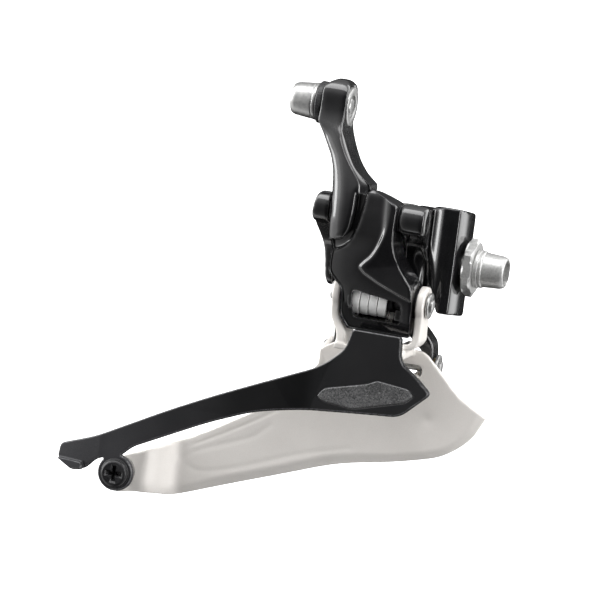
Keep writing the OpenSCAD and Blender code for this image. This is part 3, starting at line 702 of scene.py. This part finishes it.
def sweep_joggle(clay):
    """Turns the sharp bends of the plate's joggle into one smooth sweep. Each face's level is measured at
    stations along the plate, and points between the faces move by their depth."""
    x, y, z = (clay.points - TAIL).T
    spacing, reach = 0.3, 7
    stations = np.arange(JOGGLE - reach, JOGGLE + reach, spacing)
    near = (np.abs(x - JOGGLE) < reach) & (z < 30)
    target = smooth_step(stations, JOGGLE + JOGGLE_SWEEP, JOGGLE - JOGGLE_SWEEP)
    moves = []
    for direction in (OUTBOARD, -OUTBOARD):
        face = near & (clay.normals() @ direction > 0.25)
        place = np.round((x[face] - stations[0]) / spacing).astype(int).clip(0, len(stations) - 1)
        count = np.maximum(np.bincount(place, minlength=len(stations)), 1)
        level = np.bincount(place, y[face], len(stations)) / count
        blade, tongue = level[-6:].mean(), level[2:6].mean()
        moves.append((level, blade + (tongue - blade) * target - level))
    (front, front_move), (back, back_move) = moves
    depth = np.clip((y - np.interp(x, stations, front)) /
                    np.maximum(np.interp(x, stations, back - front), 0.3), 0, 1)
    move = (1 - depth) * np.interp(x, stations, front_move) + depth * np.interp(x, stations, back_move)
    clay.push(move * near * smooth_step(np.abs(x - JOGGLE), 6.9, 5.6), (0, 1, 0))
    clay.relax(12, 0.5 * smooth_step(np.abs(x - JOGGLE), 6.9, 5.0) * near)


def hollow(distance, width, depth):
    """The depth of a soft groove or dimple at each distance from its middle."""
    return depth * np.exp(-(distance / width) ** 2)


def make_inner_plate():
    """The blade turns inboard at its lower edge and has three pressed grooves and a dimple at the nose."""
    clay = Clay("inner_plate_blasted", ["inner_cage_plate"], 0.235, 4)
    x, _, z = (clay.points - TAIL).T
    blade = smooth_step(z, 38.5, 36.5)
    lower = line_distance(x, z, curve_through(BLADE_LOWER_EDGE))
    clay.push(-0.75 * (1 - smooth_step(lower, 0, 2.7)) ** 1.3 * blade)
    upper = line_distance(x, z, curve_through(BLADE_UPPER_EDGE))
    outside = clay.facing(OUTBOARD, 0.2, 0.7) * blade
    groove = hollow(upper - 1.7, 0.4, 0.08)
    for line in LEAF_GROOVES:
        groove += hollow(line_distance(x, z, curve_through(line)), 0.7, 0.07)
    groove += hollow(np.hypot(x - NOSE_DIMPLE[0], z - NOSE_DIMPLE[1]), 1.5, 0.3)
    clay.push(-groove * outside)
    sweep_joggle(clay)
    clay.relax(1)
    return clay.done(SATIN_SILVER, "cage")


def make_outer_plate():
    """The rim is chamfered, the face swells a little behind its crease, and the tail bends inboard."""
    clay = Clay("outer_plate_anodised", ["outer_cage_plate"], 0.155, 2)
    clay.chamfer(0.42, 0.34, -high("plate_inlay")[1])
    x, _, z = (clay.points - TAIL).T
    behind = np.maximum(region_depth(x, z, np.vstack([PLATE_CREASE, [(-30, 18), (-30, 38)]])), 0)
    clay.push((0.10 * behind - 0.0030 * behind ** 2) * smooth_step(x, 2.5, 9))
    clay.push(-0.12 * np.clip(-4.6 - x, 0, 20))
    return clay.done(SATIN_BLACK, "cage")


def make_inlay():
    clay = Clay("plate_inlay_grained", ["plate_inlay"], 0.12, 1)
    clay.chamfer(0.35, 0.2)
    return clay.done(INLAY_GREY, "cage")


# ---------------------------------------------------------------- hardware

def make_spring():
    """The torsion spring: four turns of flat wire with a straight leg at each end."""
    wide, thick, corner = 1.95, 1.5, 0.34
    radius = 3.7
    turns, steps = 4, 72
    half_w, half_t = wide / 2, thick / 2
    start, end = low("return_spring")[0] + half_w, high("return_spring")[0] - half_w
    section = []
    for sx, sy, turn in ((1, 1, 0), (-1, 1, 90), (-1, -1, 180), (1, -1, 270)):
        for k in range(5):
            a = math.radians(turn + 22.5 * k)
            section.append((sx * (half_t - corner) + corner * math.cos(a),
                            sy * (half_w - corner) + corner * math.sin(a)))
    up_leg = high("return_spring")[2] - LOWER_OUTER[2]
    down_leg = LOWER_OUTER[2] - low("return_spring")[2]
    stations = [(start, 0, up_leg * share) for share in np.linspace(1, 0.06, 16)]
    stations += [(start + (end - start) * i / (steps * turns), -2 * math.pi * i / steps, 0)
                 for i in range(steps * turns + 1)]
    stations += [(end, 0, -down_leg * share) for share in np.linspace(0.04, 1, 22)]
    points = []
    for along, angle, rise in stations:
        for out, side in section:
            reach = radius + out
            points.append((along + side, LOWER_OUTER[1] + reach * math.cos(angle),
                           LOWER_OUTER[2] + reach * math.sin(angle) + rise))
    count, rings = len(section), len(stations)
    faces = []
    for i in range(rings - 1):
        for k in range(count):
            beside = (k + 1) % count
            faces.append((i * count + k, i * count + beside, (i + 1) * count + beside, (i + 1) * count + k))
    faces += [tuple(range(count))[::-1], tuple((rings - 1) * count + k for k in range(count))]
    spring = new_piece("return_spring_wire", points, faces, SPRING_STEEL, None, ["return_spring"])
    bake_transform(spring)


FORWARD = (1.0, 0, 0)
REARWARD = (-1.0, 0, 0)


def turned(name, centre, axis, profile, look, body, nodes, sharp=30, **options):
    points, faces = turned_shape(np.array(centre, float), axis, profile, **options)
    return new_piece(name, points, faces, look, body, nodes, sharp)


def make_mounting_bolt():
    """Shank, a double-ringed collar and a tapered head with rounded rims round a hex socket."""
    start, end = low("mounting_bolt")[0], high("mounting_bolt")[0]
    collar = end - 7.1
    head = [(start + 0.3, 2.1, 0), (start + 0.6, 2.47, 0), (collar, 2.47, 0)]
    head += rounded_rings([(collar, 2.5), (collar, 4.5, 0.25), (collar + 0.95, 4.5, 0.3),
                           (collar + 1.05, 4.15, 0.1), (collar + 1.3, 4.15, 0.1), (collar + 1.45, 4.42, 0.15),
                           (collar + 1.85, 4.32, 0.3), (collar + 1.95, 4.1, 0.1), (end - 0.9, 3.85, 0.6),
                           (end, 3.45, 0.35), (end, 2.95)])
    head += [(end - 0.12, 2.86, "hexagon"), (end - 3.6, 2.78, "hexagon")]
    turned("mounting_bolt_turned", (0, 0, 0), FORWARD, [(start, 0, 0)] + head + [(end - 3.9, 0, 0)],
           SATIN_STEEL, "body", ["mounting_bolt"])


def make_hex_washer():
    """The hexagon with its corners chamfered at both ends."""
    start, end = low("clamp_washer_hex")[0], high("clamp_washer_hex")[0]
    flat = 5.97
    profile = [(start, 0, 0), (start, 6.2, 0), (start + 0.3, flat, "hexagon"), (end - 0.4, flat, "hexagon"),
               (end - 0.05, 6.0, 0), (end, 5.9, 0), (end, 3.4, 0), (end - 0.25, 3.0, 0), (end - 0.3, 0, 0)]
    turned("clamp_washer_hex_chamfered", (0, 0, 0), FORWARD, profile, SATIN_STEEL, "body",
           ["clamp_washer_hex"], sharp=24)


def make_clamp_bolt():
    """Tapered head with rounded rims and a hex socket, and a shank through the arm."""
    start, end = low("cable_clamp_bolt")[0], high("cable_clamp_bolt")[0]
    length = end - start
    profile = [(length - 4.3, 0, 0), (length - 4.0, 2.22, "hexagon"), (length - 0.12, 2.28, "hexagon")]
    profile += rounded_rings([(length, 2.45), (length, 3.35, 0.35), (length - 0.8, 3.8, 0.55),
                              (length - 5.0, 4.25, 0.2), (length - 5.2, 4.1, 0.1), (length - 5.4, 4.35, 0.15),
                              (length - 6.05, 4.35, 0.2), (length - 6.05, 2.0)])
    profile += [(0.4, 1.97, 0), (0.1, 1.7, 0), (0, 0, 0)]
    turned("cable_clamp_bolt_turned", (end, CLAMP[1], CLAMP[2]), REARWARD, profile[::-1], BRIGHT_STEEL,
           "outer_link", ["cable_clamp_bolt"])


def make_cable_washer():
    """Dark washer with a ribbed rim."""
    start, end = low("cable_washer")[0], high("cable_washer")[0]
    profile = [(start, 0, 0)] + rounded_rings([(start, 2.1), (start, 4.5, 0.3), (start + 0.35, 4.95, 0.2),
                                               (end - 0.3, 4.95, 0.2), (end, 4.7, 0.1), (end, 2.1)])
    profile += [(end, 0, 0)]
    turned("cable_washer_ribbed", (0, CLAMP[1], CLAMP[2]), FORWARD, profile, DARK_STEEL, "outer_link",
           ["cable_washer"], flutes=(48, 0.07))


def make_tail_screw():
    """Domed head with a double rim and a flared cross recess."""
    start, end = low("tail_screw")[1], high("tail_screw")[1]
    length = end - start
    profile = [(0, 0, 0), (0.2, 1.7, 0), (0.5, 1.96, 0), (length - 1.75, 1.96, 0)]
    profile += rounded_rings([(length - 1.75, 2.1), (length - 1.72, 3.45, 0.15), (length - 1.2, 3.45, 0.2),
                              (length - 1.1, 3.2, 0.1), (length - 0.95, 3.2, 0.1), (length - 0.3, 3.12, 0.5),
                              (length, 2.6, 0.4), (length - 0.02, 2.35)])
    profile += [(length - 0.06, 2.2, 0.75), (length - 0.5, 1.75, 0.42), (length - 1.5, 1.2, 0.3),
                (length - 2.1, 0, 0)]
    turned("tail_screw_turned", (TAIL[0], end, TAIL[2]), tuple(OUTBOARD), profile, BLACK_SCREW, "cage",
           ["tail_screw"], sides=240)


make_camera()
make_world()
make_lights()
make_floor()

make_outer_link()
make_cable_arm()
make_main_body()
make_inner_link()
make_inner_plate()
make_outer_plate()
make_inlay()
make_spring()
make_mounting_bolt()
make_hex_washer()
make_clamp_bolt()
make_cable_washer()
make_tail_screw()

for look, nodes in ((BRIGHT_STEEL, ("upper_outer_pin", "upper_inner_pin", "limit_screw_low",
                                    "limit_screw_high", "arm_screw", "cable_insert", "cage_rivets",
                                    "lower_outer_pin", "lower_inner_pin", "pin_clips", "tail_spacer")),
                    (BRONZE, ("upper_link_bushes", "inner_link_bushes")),
                    (POLYMER, ("lower_link_bushes", "screw_lock_inserts", "upper_thrust_washers",
                               "lower_thrust_washers", "spring_sleeve"))):
    for node in nodes:
        softened(node, look)

bpy.context.scene.view_settings.view_transform = "Standard"
